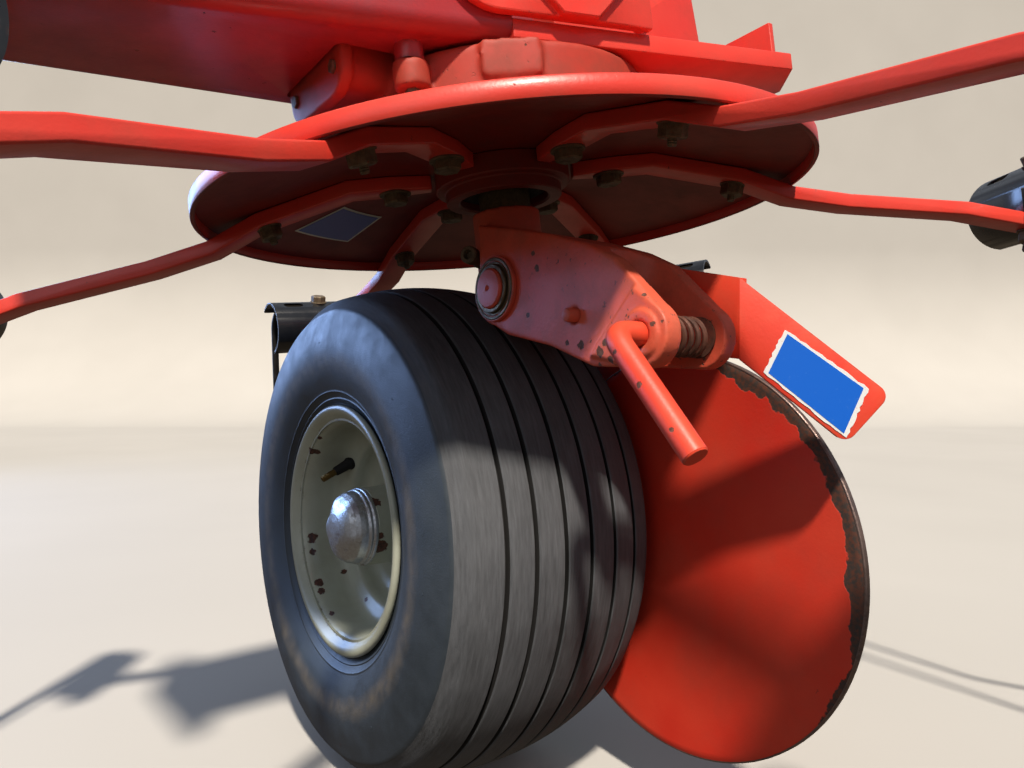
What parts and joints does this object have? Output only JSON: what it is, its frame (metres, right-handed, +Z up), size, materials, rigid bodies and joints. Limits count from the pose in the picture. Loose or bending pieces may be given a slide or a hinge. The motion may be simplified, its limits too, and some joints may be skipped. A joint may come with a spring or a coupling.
{
  "type": "hay tedder rotor unit",
  "caption": "Rotor unit of a hay tedder: frame beam with gear case, tined rotor, and a swinging leg with its support wheel.",
  "frame": {"origin": "centre of the bolted flange's face at the beam's outer end", "axes": "+X inboard along the machine's axles, +Y the way of travel, +Z up; the beam and rotor lean a few degrees"},
  "size_m": [1.221, 1.3435, 0.7831],
  "materials": {
    "red_paint": "gloss orange-red paint over rolled and welded steel, worn to steel at the edges",
    "red_cast_iron": "orange-red paint over sand-cast iron, chipped at the edges",
    "bare_steel": "turned steel, dulled and brown with old grease",
    "spring_steel": "spring wire, black, worn bright toward the tips",
    "black_cover": "smooth gloss black paint on bent sheet",
    "wheel_silver": "dull grey-green silver paint, with rust at the chips",
    "zinc_plate": "dull zinc plate on pressed steel, dented",
    "tyre_rubber": "moulded rubber, dusty on the ribs"
  },
  "bodies": {
    "frame": {"beam": "red_paint", "beam_flange": "red_paint", "floor_pan": "red_paint", "hinge_housing": "red_paint", "side_plate": "red_paint", "gear_case": "red_cast_iron", "centre_shaft": "bare_steel", "bracket": "red_cast_iron", "stop_pin": "bare_steel", "pivot_pin": "bare_steel", "pivot_washer": "bare_steel", "lock_pin": "red_paint", "lock_spring": "bare_steel"},
    "rotor": {"rotor_dish": "red_paint", "rotor_hub": "red_cast_iron", "arm_1": "red_paint", "arm_2": "red_paint", "arm_3": "red_paint", "arm_4": "red_paint", "arm_5": "red_paint", "arm_6": "red_paint", "tine_1": "spring_steel", "tine_2": "spring_steel", "tine_3": "spring_steel", "tine_4": "spring_steel", "tine_5": "spring_steel", "tine_6": "spring_steel", "tine_cover_1": "black_cover", "tine_cover_2": "black_cover", "tine_cover_3": "black_cover", "tine_cover_4": "black_cover", "tine_cover_5": "black_cover", "tine_cover_6": "black_cover"},
    "leg": {"leg": "red_paint", "lever": "red_paint", "axle": "bare_steel", "guard_disc": "red_paint"},
    "wheel": {"wheel_hub": "wheel_silver", "rim": "wheel_silver", "tyre": "tyre_rubber", "hub_cap": "zinc_plate"}
  },
  "joints": [
    {"name": "rotor_spin", "type": "hinge", "parent": "frame", "child": "rotor", "pos_m": [0.40891, -0.01109, -0.09523], "axis": [-0.0795, 0.0739, 0.9941], "continuous": true},
    {"name": "leg_swing", "type": "hinge", "parent": "frame", "child": "leg", "pos_m": [0.40891, -0.05109, -0.18523], "axis": [1, 0, 0], "range_deg": [0, 9]},
    {"name": "wheel_spin", "type": "hinge", "parent": "leg", "child": "wheel", "pos_m": [0.41391, 0.12691, -0.39593], "axis": [1, 0, 0], "continuous": true}
  ]
}
